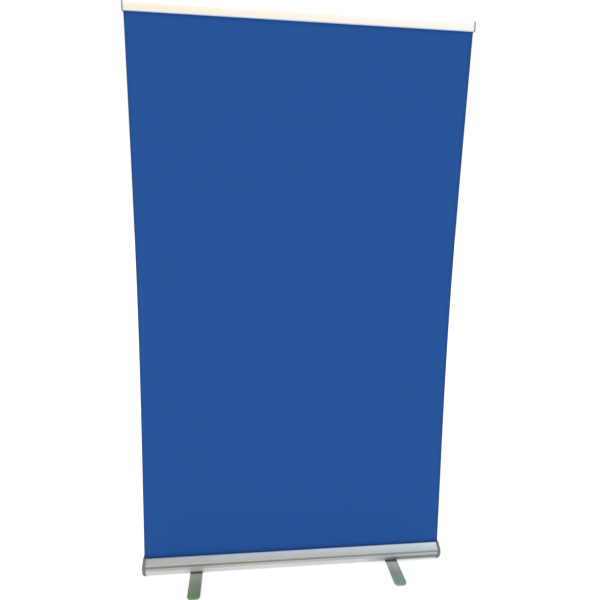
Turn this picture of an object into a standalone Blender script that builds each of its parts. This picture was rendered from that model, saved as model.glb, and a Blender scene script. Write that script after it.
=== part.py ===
"""Roll-up banner stand, 1.2 m wide and 2.1 m tall, standing open.

Lengths are in metres. +Z is up, the front of the banner faces -Y, and the origin lies on the
floor, midway between the pivots of the two feet.
"""
import math

import bmesh
import bpy
from mathutils import Vector

# ---------------------------------------------------------------- driving dimensions
GAP = 0.0003                      # air left between neighbouring pieces
ROUND_STEPS = 32                  # sides of a turned piece

SHEET_WIDTH = 1.200
SHEET_THICK = 0.0006
SHEET_Y = -0.006                  # middle plane of the hanging sheet
SHEET_IN_BASE = 0.0020            # depth of the sheet's lower end below the cassette's mouth
SHEET_IN_RAIL = 0.0255            # height of sheet gripped inside the rail

BASE_LENGTH = 1.210
BASE_FRONT = -0.0400
BASE_REAR = 0.0480
BASE_BOTTOM = 0.0110
BASE_TOP = 0.0655
BASE_WALL = 0.0019
SLOT_FRONT = -0.0105
SLOT_REAR = -0.0015
GROOVE_Z = 0.0423                 # middle of the groove along the cassette's front
GROOVE_HALF = 0.0020
GROOVE_DEPTH = 0.0013

CAP_WALL = 0.0035
CAP_SKIRT = 0.0090
CAP_SKIRT_THICK = 0.0013
CAP_ROUND_LOW = 0.0042
CAP_ROUND = 0.0026
CAP_BOSS_R = 0.0078
CAP_BOSS_LENGTH = 0.0105
CAP_SLOT_DEPTH = 0.0100           # the cap's skirt is open this far below the mouth
AXLE_END_ROOM = 0.0005
SCREW_PORTS = ((-0.0285, 0.0500), (-0.0298, 0.0162), (0.0431, 0.0159))
PORT_R = 0.0042
PORT_HOLE_R = 0.0018
SCREW_HEAD_R = 0.0032
SCREW_HEAD_DEPTH = 0.0019
SCREW_HEAD_ROOM = 0.0004
SCREW_R = 0.0014
SCREW_LENGTH = 0.0138
BUMPER_R = 0.0050
BUMPER_LIFT = 0.0012              # a bumper stops this far above the floor
BUMPER_INSET = 0.0037             # from the cap's inner face to the bumper's middle
BUMPER_YS = (("front", -0.0215), ("rear", 0.0265))

ROLL_Y = -0.0020
ROLL_Z = 0.0400
TUBE_R = 0.0140
TUBE_WALL = 0.0012
TUBE_HALF = 0.5850
WRAP_R = 0.0150
WRAP_HALF = 0.5830
AXLE_R = 0.0040
AXLE_BORE_R = 0.00408
ARBOR_END_X = -0.2700
PIN_END_X = 0.5600
PLUG_DEPTH = 0.0180
PLUG_FLANGE = 0.0023
SPRING_START_X = -0.5550
SPRING_LENGTH = 0.2700
SPRING_R = 0.0088
SPRING_WIRE_R = 0.0009
SPRING_TURNS = 13
SPRING_STEPS = 12                 # straight lengths in one turn of wire

FOOT_X = 0.397
FOOT_LENGTH = 0.342
FOOT_WIDTH = 0.0475
FOOT_THICK = 0.0050
FOOT_BOTTOM = 0.0020
FOOT_CORNER = 0.0150
FOOT_EDGE = 0.0012                # width of the softened edge round the bar
FOOT_PAD_R = 0.0110
FOOT_PAD_INSET = 0.0210           # from the bar's end to the pad's middle
BOLT_R = 0.0040
BOLT_HEAD_R = 0.0088
BOLT_HEAD_BOTTOM = 0.0022
BOLT_HEAD_TOP = 0.0040
BOLT_END = 0.0225
BOLT_HOLE_R = 0.0043
BOLT_ROOM = 0.0004
BOLT_RECESS_R = 0.0095
WASHER_R = 0.0120
SPREAD_WASHER_R = 0.0100
SPREAD_WASHER_THICK = 0.0012
NUT_R = 0.0075
NUT_HEIGHT = 0.0062

POLE_Y = 0.0300
POLE_PIVOT_Z = 0.0280
POLE_R = 0.0080
POLE_WALL = 0.0012
POLE_TUBE_FROM = 0.0385
POLE_TUBE_TO = 2.0400
POLE_ROOM = 0.0004                # room round the pole in its socket
POLE_LEAN_ROOM = 0.0030           # extra depth of the socket behind the pole
COLLAR_HEIGHT = 0.0030
COLLAR_PROUD = 0.0007
FERRULE_REACH = 0.0320
FERRULE_BORE_R = 0.0038
FOOT_PLUG_REACH = 0.0180
HEAD_REACH = 0.0220
HEAD_HEIGHT = 0.0265
HEAD_PROUD = 0.0008
CORD_R = 0.0015
KNOT_R = 0.0030
SOCKET_HALF = 0.0140
SOCKET_FRONT = 0.0198
SOCKET_REAR = 0.0436
SOCKET_RIM = 0.0022               # height of the socket's rim above the deck
SOCKET_RIM_WIDER = 0.0040         # the rim reaches this far past the block on each side
SOCKET_RIM_FRONT = 0.0165
SOCKET_RIM_REAR = 0.0447
SOCKET_NOTCH_Y = 0.0382           # the block is cut away behind this, over the lower screw port
SOCKET_NOTCH_Z = 0.0210
HOOK_FINGER_FRONT = 0.0002
HOOK_FINGER_REAR = 0.0036
HOOK_TOP = 2.0735
HOOK_ARM_TOP = 2.0655
HOOK_ARM_LOW = 2.0520
HOOK_HALF = 0.0065

RAIL_BOTTOM = 2.0625
RAIL_HEIGHT = 0.0330
RAIL_HALF = 0.6000
RAIL_WALL = 0.0016
RAIL_BACK_FRONT = -0.0030
RAIL_BACK_REAR = RAIL_BACK_FRONT + RAIL_WALL
CHANNEL_ROOF = 2.0743             # underside of the hook channel behind the rail
CHANNEL_LIP = 2.0688
CHANNEL_REAR = 0.0060
RAIL_CAP_THICK = 0.0042
RAIL_CAP_PROUD = 0.0006           # the end caps stand this far outside the rail's section
RAIL_CAP_LOWER = 0.0004
JAW_FACE = -0.0138
JAW_WALL = 0.0013
JAW_LIP_WALL = 0.0014
JAW_LIP_HEIGHT = 0.0100
JAW_SHELF = 0.0026                # height of the floor between the jaw's face and its lip
JAW_SHOULDER = 0.0090             # where the face starts to turn back, below the rail's top
JAW_BEAD_WALL = 0.0016            # wall of the C round the bead
JAW_PIVOT_Y = -0.0078
JAW_PIVOT_Z = 2.0922
BEAD_R = 0.0016
GRIP_FRONT = -0.0052
GRIP_HEIGHT = 0.0100
GRIP_LIFT = 0.0030                # the strip starts this far above the rail's lower edge

AROUND_X = (math.pi / 2, 0.0, math.pi / 2)      # local X, Y, Z become world Y, Z, X
BEYOND = 0.020                                  # how far a cutter runs past what it cuts


def facing(side):
    """The rotation that points local +Z along world X, to the right (1) or the left (-1)."""
    return (0.0, side * math.pi / 2, 0.0)


# ---------------------------------------------------------------- scene and materials
def clear_scene():
    for obj in list(bpy.data.objects):
        bpy.data.objects.remove(obj, do_unlink=True)


def new_collection(name):
    collection = bpy.data.collections.new(name)
    bpy.context.scene.collection.children.link(collection)
    return collection


def new_material(name, colour, metallic, roughness):
    material = bpy.data.materials.new(name)
    material.use_nodes = True
    shader = material.node_tree.nodes["Principled BSDF"]
    shader.inputs["Base Color"].default_value = (*colour, 1.0)
    shader.inputs["Metallic"].default_value = metallic
    shader.inputs["Roughness"].default_value = roughness
    material.diffuse_color = (*colour, 1.0)
    return material


clear_scene()
STAND = new_collection("rollup_banner_stand")
HELPERS = new_collection("helpers")

MAT = {
    "banner_film": new_material("banner_film", (0.022, 0.089, 0.314), 0.0, 0.55),
    "anodised": new_material("anodised", (0.62, 0.63, 0.64), 0.9, 0.35),
    "cap_plastic": new_material("cap_plastic", (0.34, 0.35, 0.37), 0.0, 0.45),
    "cream_paint": new_material("cream_paint", (0.90, 0.87, 0.80), 0.1, 0.40),
    "rail_cap": new_material("rail_cap", (0.46, 0.45, 0.43), 0.0, 0.50),
    "foot_steel": new_material("foot_steel", (0.48, 0.49, 0.48), 0.9, 0.38),
    "screw_steel": new_material("screw_steel", (0.50, 0.50, 0.50), 1.0, 0.30),
    "spring_steel": new_material("spring_steel", (0.30, 0.30, 0.31), 1.0, 0.35),
    "rubber": new_material("rubber", (0.03, 0.03, 0.03), 0.0, 0.80),
    "black_plastic": new_material("black_plastic", (0.05, 0.05, 0.055), 0.0, 0.50),
    "white_film": new_material("white_film", (0.80, 0.80, 0.78), 0.0, 0.60),
    "cord": new_material("cord", (0.06, 0.06, 0.07), 0.0, 0.90),
}


# ---------------------------------------------------------------- outlines in a plane
def arc(centre, radius, start_deg, end_deg, steps):
    angles = (math.radians(start_deg + (end_deg - start_deg) * k / steps) for k in range(steps + 1))
    return [Vector(centre) + radius * Vector((math.cos(a), math.sin(a))) for a in angles]


def circle(u, v, radius, steps=ROUND_STEPS):
    return arc((u, v), radius, 0.0, 360.0, steps)[:-1]


def rounded(corners, steps=4):
    """Closed outline from (u, v, radius) corners, each radius drawn as a short arc."""
    points = []
    for i, (u, v, radius) in enumerate(corners):
        here = Vector((u, v))
        if radius <= 0.0:
            points.append(here)
            continue
        before = (Vector(corners[i - 1][:2]) - here).normalized()
        after = (Vector(corners[(i + 1) % len(corners)][:2]) - here).normalized()
        half = before.angle(after) / 2
        centre = here + (before + after).normalized() * (radius / math.sin(half))
        start = here + before * (radius / math.tan(half)) - centre
        end = here + after * (radius / math.tan(half)) - centre
        first = math.degrees(math.atan2(start.y, start.x))
        sweep = math.degrees(start.angle(end))
        turn = 1.0 if start.x * end.y > start.y * end.x else -1.0
        points += arc(centre, radius, first, first + turn * sweep, steps)
    return points


def rectangle(u0, u1, v0, v1, radius=0.0, steps=4):
    corners = [(u0, v0, radius), (u1, v0, radius), (u1, v1, radius), (u0, v1, radius)]
    return rounded(corners, steps)


# ---------------------------------------------------------------- shaping helpers
def smooth_sides(obj, limit_deg=35.0):
    obj.data.shade_smooth()
    obj.data.set_sharp_from_angle(angle=math.radians(limit_deg))


def new_object(name, mesh, material, collection=STAND):
    obj = bpy.data.objects.new(name, mesh)
    collection.objects.link(obj)
    if material:
        mesh.materials.append(MAT[material])
    return obj


def hide_helper(obj):
    obj.hide_render = True
    obj.display_type = "WIRE"
    for collection in list(obj.users_collection):
        collection.objects.unlink(obj)
    HELPERS.objects.link(obj)


def evaluated_mesh(obj, triangulate=False):
    """The shape of an object with its modifiers, welded and facing out, as a mesh of its own."""
    bpy.context.view_layer.update()
    graph = bpy.context.evaluated_depsgraph_get()
    mesh = bpy.data.meshes.new_from_object(obj.evaluated_get(graph))
    shaped = bmesh.new()
    shaped.from_mesh(mesh)
    bmesh.ops.remove_doubles(shaped, verts=shaped.verts, dist=1e-6)
    if triangulate:
        bmesh.ops.triangulate(shaped, faces=shaped.faces)
    bmesh.ops.recalc_face_normals(shaped, faces=shaped.faces)
    shaped.to_mesh(mesh)
    shaped.free()
    return mesh


def keep_shape(obj, triangulate=False):
    """Bakes the modifiers into the object's own mesh."""
    mesh = evaluated_mesh(obj, triangulate)
    obj.modifiers.clear()
    mesh.name = obj.name
    obj.data = mesh
    smooth_sides(obj)


def from_curve(name, curve, material):
    """Turns a drawn curve into a mesh object of that name."""
    drawn = bpy.data.objects.new(name + "_curve", curve)
    STAND.objects.link(drawn)
    mesh = evaluated_mesh(drawn)
    mesh.name = name
    bpy.data.objects.remove(drawn, do_unlink=True)
    obj = new_object(name, mesh, material)
    smooth_sides(obj)
    return obj


def flat_piece(name, outlines, half_depth, material):
    """A flat outline (the first) with holes (the rest), thickened by half_depth each way."""
    curve = bpy.data.curves.new(name + "_outline", "CURVE")
    curve.dimensions = "2D"
    curve.fill_mode = "BOTH"
    curve.extrude = half_depth
    for outline in outlines:
        spline = curve.splines.new("POLY")
        spline.points.add(len(outline) - 1)
        for point, place in zip(spline.points, outline):
            point.co = (place[0], place[1], 0.0, 1.0)
        spline.use_cyclic_u = True
    return from_curve(name, curve, material)


def along_x(name, outlines, x0, x1, material=None):
    """Extrusion: an outline in (y, z), drawn from x0 to x1."""
    obj = flat_piece(name, outlines, abs(x1 - x0) / 2, material)
    obj.rotation_euler = AROUND_X
    obj.location = ((x0 + x1) / 2, 0.0, 0.0)
    return obj


def along_z(name, outlines, z0, z1, material=None, place=(0.0, 0.0)):
    """Plate: an outline in (x, y) around place, drawn from z0 to z1."""
    obj = flat_piece(name, outlines, (z1 - z0) / 2, material)
    obj.location = (*place, (z0 + z1) / 2)
    return obj


def turned(name, profile, material, place, rotation=(0.0, 0.0, 0.0), steps=ROUND_STEPS):
    """A turned piece: profile is (radius, height), down the outside and closed on the axis or itself."""
    mesh = bpy.data.meshes.new(name)
    edges = [(i, i + 1) for i in range(len(profile) - 1)]
    if profile[0][0] > 0.0:
        edges.append((len(profile) - 1, 0))
    mesh.from_pydata([(r, 0.0, h) for r, h in profile], edges, [])
    obj = new_object(name, mesh, material)
    screw = obj.modifiers.new("turn", "SCREW")
    screw.axis = "Z"
    screw.steps = steps
    screw.render_steps = steps
    screw.use_merge_vertices = True
    screw.merge_threshold = 1e-5
    keep_shape(obj)
    obj.location = place
    obj.rotation_euler = rotation
    return obj


def rod(radius, low, high, chamfer=0.0):
    """Turned profile of a plain rod between two heights."""
    if chamfer <= 0.0:
        return [(0.0, high), (radius, high), (radius, low), (0.0, low)]
    slim = radius - chamfer
    ends = [(slim, high), (radius, high - chamfer), (radius, low + chamfer), (slim, low)]
    return [(0.0, high), *ends, (0.0, low)]


def ring(inner, outer, low, high):
    """Turned profile of a plain sleeve between two heights."""
    return [(inner, high), (outer, high), (outer, low), (inner, low)]


def cutter_box(name, low, high):
    shaped = bmesh.new()
    bmesh.ops.create_cube(shaped, size=1.0)
    for vert in shaped.verts:
        vert.co = [low[i] if vert.co[i] < 0 else high[i] for i in range(3)]
    mesh = bpy.data.meshes.new(name)
    shaped.to_mesh(mesh)
    shaped.free()
    return new_object(name, mesh, None)


def combine(obj, other, operation="DIFFERENCE"):
    """Cuts other out of obj, or joins it on, and keeps the result as plain mesh."""
    boolean = obj.modifiers.new("combine", "BOOLEAN")
    boolean.operation = operation
    boolean.solver = "EXACT"
    boolean.object = other
    keep_shape(obj, triangulate=True)
    hide_helper(other)


def axis_at(name, place):
    """An empty on a joint axis. The pieces that move about it are its children."""
    empty = bpy.data.objects.new(name, None)
    empty.location = place
    HELPERS.objects.link(empty)
    return empty


def hang_on(empty, *pieces):
    for piece in pieces:
        piece.parent = empty
        piece.location = piece.location - empty.location


# ---------------------------------------------------------------- cassette
def cassette_corners(grow=0.0):
    """Outside of the cassette in (y, z), from the slot's front lip round to its rear lip.

    A corner of a slanting side shifts by a share of the margin.
    """
    low = BASE_BOTTOM - grow
    top = BASE_TOP + grow
    front = BASE_FRONT - grow
    rear = BASE_REAR + grow
    return [
        (SLOT_FRONT, top, 0.0),
        (-0.0140 - 0.3 * grow, top, 0.0030 + grow),
        (-0.0385 - grow, 0.0490 + 0.5 * grow, 0.0060 + grow),
        (front, 0.0330, 0.0),
        (front, 0.0297 - 0.2 * grow, 0.0030 + grow),
        (-0.0335 - 0.7 * grow, low, 0.0030 + grow),
        (rear, low, 0.0040 + grow),
        (rear, top, 0.0032 + grow),
        (SLOT_REAR, top, 0.0),
    ]


def cup_outline(grow):
    """The cassette's outside with no slot, for the cups that close the ends."""
    return rounded(cassette_corners(grow)[1:-1])


def set_back(outline, half, depth):
    """The outline with its front face set back by depth, within half of the groove's middle."""
    low = next(i for i, p in enumerate(outline) if p.y < GROOVE_Z)
    above, below = outline[low - 1], outline[low]
    upper, lower = (
        above.lerp(below, (above.y - z) / (above.y - below.y))
        for z in (GROOVE_Z + half, GROOVE_Z - half)
    )
    back = Vector((depth, 0.0))
    return outline[:low] + [upper, upper + back, lower + back, lower] + outline[low:]


def housing_outline():
    """Out along the outside, then back along the inside. The wall steps in behind the groove."""
    outside = set_back(rounded(cassette_corners()), GROOVE_HALF, GROOVE_DEPTH)
    inside = set_back(
        rounded(cassette_corners(-BASE_WALL)), GROOVE_HALF + GROOVE_DEPTH, GROOVE_DEPTH
    )
    return outside + inside[::-1]


def make_housing():
    half = BASE_LENGTH / 2 - CAP_WALL - GAP
    housing = along_x("cassette_housing", [housing_outline()], -half, half, "anodised")
    for i, (y, z) in enumerate(SCREW_PORTS):
        port = along_x(f"port_{i}", [circle(y, z, PORT_R, 12)], -half, half)
        combine(housing, port, "UNION")
    for i, (y, z) in enumerate(SCREW_PORTS):
        bore = along_x(f"port_bore_{i}", [circle(y, z, PORT_HOLE_R, 12)], -1.0, 1.0)
        combine(housing, bore)
    for side in (-1, 1):
        hole = rod(BOLT_HOLE_R, -BEYOND, BASE_BOTTOM + BASE_WALL + 0.002)
        combine(housing, turned(f"bolt_hole_{side}", hole, None, (side * FOOT_X, 0.0, 0.0)))
    half_hole = SOCKET_HALF + GAP
    low = (-half_hole, SOCKET_FRONT - GAP, ROLL_Z)
    high = (half_hole, SOCKET_REAR + GAP, BASE_TOP + BEYOND)
    combine(housing, cutter_box("socket_hole", low, high))


def drawn_in(outline, at_bottom, elsewhere):
    """The outline shrunk towards its middle, by at_bottom below and by elsewhere on its other sides."""
    left = min(p.x for p in outline)
    low = min(p.y for p in outline)
    width = max(p.x for p in outline) - left
    height = max(p.y for p in outline) - low
    new_width = width - 2 * elsewhere
    new_height = height - at_bottom - elsewhere
    return [
        Vector(
            (
                left + elsewhere + (p.x - left) / width * new_width,
                low + at_bottom + (p.y - low) / height * new_height,
            )
        )
        for p in outline
    ]


def loft(name, sections, material):
    """A closed skin over matching outlines; sections are (x, outline) and outlines are in (y, z)."""
    shaped = bmesh.new()
    rows = [[shaped.verts.new((x, p.x, p.y)) for p in outline] for x, outline in sections]
    count = len(rows[0])
    for row, after in zip(rows, rows[1:]):
        for i in range(count):
            j = (i + 1) % count
            shaped.faces.new((row[i], row[j], after[j], after[i]))
    shaped.faces.new(rows[0])
    shaped.faces.new(rows[-1])
    bmesh.ops.triangulate(shaped, faces=shaped.faces)
    bmesh.ops.recalc_face_normals(shaped, faces=shaped.faces)
    mesh = bpy.data.meshes.new(name)
    shaped.to_mesh(mesh)
    shaped.free()
    return new_object(name, mesh, material)


def rounded_cup(name, side):
    """The end cap's outside: the cassette's section, softened round the outer face."""
    outer = cup_outline(GAP + CAP_SKIRT_THICK)
    end = BASE_LENGTH / 2
    sections = [(side * (end - CAP_WALL - CAP_SKIRT), outer)]
    for degrees in (0, 30, 60, 90):
        angle = math.radians(degrees)
        share = 1.0 - math.cos(angle)
        x = end - CAP_ROUND * (1.0 - math.sin(angle))
        sections.append((side * x, drawn_in(outer, CAP_ROUND_LOW * share, CAP_ROUND * share)))
    return loft(name, sections, "cap_plastic")


def make_end_cap(name, side):
    """Moulded cup over the end of the extrusion, with a boss for the roller's axle."""
    end = BASE_LENGTH / 2
    inner_face = end - CAP_WALL
    open_end = inner_face - CAP_SKIRT - BEYOND
    cap = rounded_cup(name, side)
    combine(cap, along_x(name + "_pocket", [cup_outline(GAP)], side * open_end, side * inner_face))
    slot_ends = sorted((side * open_end, side * (inner_face - GAP)))
    low = (slot_ends[0], SLOT_FRONT, BASE_TOP - CAP_SLOT_DEPTH)
    high = (slot_ends[1], SLOT_REAR, BASE_TOP + BEYOND)
    combine(cap, cutter_box(name + "_slot", low, high))
    boss_end = CAP_BOSS_LENGTH + CAP_WALL / 2
    bore_r = AXLE_R + GAP
    bore_end = CAP_BOSS_LENGTH + AXLE_END_ROOM
    boss_profile = [
        (0.0, boss_end),
        (CAP_BOSS_R, boss_end),
        (CAP_BOSS_R, 0.0),
        (bore_r, 0.0),
        (bore_r, bore_end),
        (0.0, bore_end),
    ]
    boss_place = (side * (inner_face - CAP_BOSS_LENGTH), ROLL_Y, ROLL_Z)
    combine(cap, turned(name + "_boss", boss_profile, None, boss_place, facing(side)), "UNION")
    head_room = SCREW_HEAD_R + SCREW_HEAD_ROOM
    hole_profile = [
        (0.0, BEYOND),
        (head_room, BEYOND),
        (head_room, -SCREW_HEAD_DEPTH),
        (PORT_HOLE_R, -SCREW_HEAD_DEPTH),
        (PORT_HOLE_R, -BEYOND),
        (0.0, -BEYOND),
    ]
    for i, (y, z) in enumerate(SCREW_PORTS):
        hole = turned(f"{name}_hole_{i}", hole_profile, None, (side * end, y, z), facing(side), 16)
        combine(cap, hole)


def make_cap_screws(name, side):
    """Pan-head screws, seated just proud of the bottom of their recesses."""
    top = SCREW_HEAD_DEPTH - 2 * GAP
    profile = [
        (0.0, top),
        (0.75 * SCREW_HEAD_R, top),
        (SCREW_HEAD_R, 0.6 * top),
        (SCREW_HEAD_R, 0.0),
        (SCREW_R, 0.0),
        (SCREW_R, SCREW_R - SCREW_LENGTH),
        (0.0, -SCREW_LENGTH),
    ]
    seat = side * (BASE_LENGTH / 2 - SCREW_HEAD_DEPTH + GAP)
    for i, (y, z) in enumerate(SCREW_PORTS):
        turned(f"{name}_{i + 1}", profile, "screw_steel", (seat, y, z), facing(side), 16)


def make_bumpers(label, side):
    top = BASE_BOTTOM - CAP_SKIRT_THICK - 2 * GAP
    x = side * (BASE_LENGTH / 2 - CAP_WALL - BUMPER_INSET)
    for end, y in BUMPER_YS:
        profile = rod(BUMPER_R, BUMPER_LIFT, top, 0.0008)
        turned(f"{label}_bumper_{end}", profile, "rubber", (x, y, 0.0), steps=16)


# ---------------------------------------------------------------- roller
def make_axles():
    """Fixed pins, held in the end caps, that the roller's plugs turn on."""
    end = BASE_LENGTH / 2 - CAP_WALL - GAP
    place = (0.0, ROLL_Y, ROLL_Z)
    arbor = rod(AXLE_R, -end, ARBOR_END_X, 0.0005)
    pin = rod(AXLE_R, PIN_END_X, end, 0.0005)
    turned("spring_arbor", arbor, "screw_steel", place, facing(1))
    turned("bearing_pin", pin, "screw_steel", place, facing(1))


def make_roller_plug(name, side):
    """Plug in the tube's end: a bored spigot with a flange over the tube's edge."""
    spigot_r = TUBE_R - TUBE_WALL - GAP
    profile = [
        (AXLE_BORE_R, PLUG_FLANGE),
        (TUBE_R - 0.0005, PLUG_FLANGE),
        (TUBE_R, PLUG_FLANGE - 0.0005),
        (TUBE_R, GAP),
        (spigot_r, GAP),
        (spigot_r, -PLUG_DEPTH),
        (AXLE_BORE_R, -PLUG_DEPTH),
    ]
    return turned(name, profile, "black_plastic", (side * TUBE_HALF, ROLL_Y, ROLL_Z), facing(side))


def make_spring():
    """Open torsion coil in the tube, wound round the fixed arbor."""
    curve = bpy.data.curves.new("torsion_spring", "CURVE")
    curve.dimensions = "3D"
    curve.bevel_depth = SPRING_WIRE_R
    curve.bevel_resolution = 2
    curve.use_fill_caps = True
    spline = curve.splines.new("POLY")
    lengths = SPRING_TURNS * SPRING_STEPS
    spline.points.add(lengths)
    for i, point in enumerate(spline.points):
        angle = 2 * math.pi * i / SPRING_STEPS
        x = SPRING_START_X + SPRING_LENGTH * i / lengths
        point.co = (x, SPRING_R * math.cos(angle), SPRING_R * math.sin(angle), 1.0)
    spring = from_curve("torsion_spring", curve, "spring_steel")
    spring.data.shade_smooth()
    spring.location = (0.0, ROLL_Y, ROLL_Z)
    return spring


def make_roller():
    place = (0.0, ROLL_Y, ROLL_Z)
    tube = ring(TUBE_R - TUBE_WALL, TUBE_R, -TUBE_HALF, TUBE_HALF)
    wrap = ring(TUBE_R + GAP, WRAP_R, -WRAP_HALF, WRAP_HALF)
    hang_on(
        axis_at("roller_axis", place),
        turned("roller_tube", tube, "anodised", place, facing(1)),
        turned("banner_wrap", wrap, "white_film", place, facing(1)),
        make_roller_plug("left_roller_plug", -1),
        make_roller_plug("right_roller_plug", 1),
        make_spring(),
    )


# ---------------------------------------------------------------- feet
def make_foot_bar(name, x):
    half_w = FOOT_WIDTH / 2
    half_l = FOOT_LENGTH / 2
    outline = rectangle(-half_w, half_w, -half_l, half_l, FOOT_CORNER, 8)
    top = FOOT_BOTTOM + FOOT_THICK
    bar = along_z(name, [outline], FOOT_BOTTOM, top, "foot_steel", (x, 0.0))
    edge = bar.modifiers.new("soft_edge", "BEVEL")
    edge.width = FOOT_EDGE
    edge.segments = 2
    edge.limit_method = "ANGLE"
    edge.angle_limit = math.radians(60)
    keep_shape(bar)
    seat = BOLT_HEAD_TOP + 2 * GAP
    recess = [
        (0.0, BEYOND),
        (BOLT_HOLE_R + GAP, BEYOND),
        (BOLT_HOLE_R + GAP, seat),
        (BOLT_RECESS_R, seat),
        (BOLT_RECESS_R, -BEYOND),
        (0.0, -BEYOND),
    ]
    combine(bar, turned(name + "_recess", recess, None, (x, 0.0, 0.0)))
    return bar


def make_pivot_bolt(name, x):
    """Flat-headed bolt up through the foot and the cassette's floor."""
    profile = [
        (0.0, BOLT_END),
        (BOLT_R - 0.0008, BOLT_END),
        (BOLT_R, BOLT_END - 0.0008),
        (BOLT_R, BOLT_HEAD_TOP),
        (BOLT_HEAD_R, BOLT_HEAD_TOP),
        (BOLT_HEAD_R, BOLT_HEAD_BOTTOM + 0.0008),
        (BOLT_HEAD_R - 0.0010, BOLT_HEAD_BOTTOM),
        (0.0, BOLT_HEAD_BOTTOM),
    ]
    return turned(name, profile, "screw_steel", (x, 0.0, 0.0))


def make_foot_pads(label, x):
    reach = FOOT_LENGTH / 2 - FOOT_PAD_INSET
    profile = rod(FOOT_PAD_R, 0.0, FOOT_BOTTOM - GAP, 0.0004)
    return [
        turned(f"{label}_foot_pad_{end}", profile, "rubber", (x, y, 0.0))
        for end, y in (("front", -reach), ("rear", reach))
    ]


def make_foot(label, side):
    """A bar that swivels under the cassette, with its bolt, washers, nut and pads."""
    x = side * FOOT_X
    bore = BOLT_R + BOLT_ROOM
    floor = BASE_BOTTOM + BASE_WALL
    below = ring(bore, WASHER_R, FOOT_BOTTOM + FOOT_THICK + GAP, BASE_BOTTOM - GAP)
    above = ring(bore, SPREAD_WASHER_R, floor + GAP, floor + GAP + SPREAD_WASHER_THICK)
    nut_low = floor + 2 * GAP + SPREAD_WASHER_THICK
    nut_outlines = [circle(0.0, 0.0, NUT_R, 6), circle(0.0, 0.0, BOLT_HOLE_R)]
    nut_name = f"{label}_lock_nut"
    hang_on(
        axis_at(f"{label}_foot_axis", (x, 0.0, 0.0)),
        make_foot_bar(f"{label}_foot_bar", x),
        make_pivot_bolt(f"{label}_pivot_bolt", x),
        turned(f"{label}_friction_washer", below, "black_plastic", (x, 0.0, 0.0)),
        turned(f"{label}_spread_washer", above, "screw_steel", (x, 0.0, 0.0)),
        along_z(nut_name, nut_outlines, nut_low, nut_low + NUT_HEIGHT, "screw_steel", (x, 0.0)),
        *make_foot_pads(label, x),
    )


# ---------------------------------------------------------------- pole and its socket
def socket_bore_outline():
    """A round hole for the pole, drawn out to the back so that the pole can lean."""
    room = POLE_R + POLE_ROOM
    front = arc((0.0, POLE_Y), room, 180.0, 360.0, 16)
    back = arc((0.0, POLE_Y + POLE_LEAN_ROOM), room, 0.0, 180.0, 16)
    return front + back


def make_socket():
    """Moulded block in the cassette that the pole stands in, with a rim over the top deck."""
    floor = BASE_BOTTOM + BASE_WALL + GAP
    rim_top = BASE_TOP + SOCKET_RIM
    body = rectangle(-SOCKET_HALF, SOCKET_HALF, SOCKET_FRONT, SOCKET_REAR, 0.0015)
    rim_half = SOCKET_HALF + SOCKET_RIM_WIDER
    rim = rectangle(-rim_half, rim_half, SOCKET_RIM_FRONT, SOCKET_RIM_REAR, SOCKET_RIM_WIDER)
    socket = along_z("pole_socket", [body], floor, BASE_TOP + SOCKET_RIM / 2, "black_plastic")
    combine(socket, along_z("socket_rim", [rim], BASE_TOP + GAP, rim_top), "UNION")
    notch_low = (-BEYOND, SOCKET_NOTCH_Y, 0.0)
    notch_high = (BEYOND, SOCKET_NOTCH_Y + BEYOND, SOCKET_NOTCH_Z)
    combine(socket, cutter_box("socket_notch", notch_low, notch_high))
    bottom = POLE_PIVOT_Z - POLE_R - 0.0005
    combine(socket, along_z("socket_bore", [socket_bore_outline()], bottom, rim_top + BEYOND))


def make_ferrule(name, z):
    """Spigot that joins two tubes, with a collar between them and a bore for the cord."""
    fit = POLE_R - POLE_WALL - GAP
    collar_r = POLE_R + COLLAR_PROUD
    upper = [
        (FERRULE_BORE_R, FERRULE_REACH),
        (fit - 0.0008, FERRULE_REACH),
        (fit, FERRULE_REACH - 0.0010),
        (fit, COLLAR_HEIGHT / 2),
        (collar_r, COLLAR_HEIGHT / 2),
    ]
    profile = upper + [(r, -h) for r, h in reversed(upper)]
    return turned(name, profile, "black_plastic", (0.0, POLE_Y, z))


def make_foot_plug():
    """Plug in the lowest tube, with a ball end centred on the pole's pivot."""
    fit = POLE_R - POLE_WALL - GAP
    shoulder = POLE_TUBE_FROM - GAP
    top = POLE_TUBE_FROM + FOOT_PLUG_REACH
    ball = [
        (POLE_R * math.cos(math.radians(a)), POLE_PIVOT_Z - POLE_R * math.sin(math.radians(a)))
        for a in (0, 20, 40, 60, 75)
    ]
    neck = [(0.0, top), (fit, top), (fit, shoulder), (POLE_R, shoulder)]
    profile = neck + ball + [(0.0, POLE_PIVOT_Z - POLE_R)]
    return turned("pole_foot_plug", profile, "black_plastic", (0.0, POLE_Y, 0.0))


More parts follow.
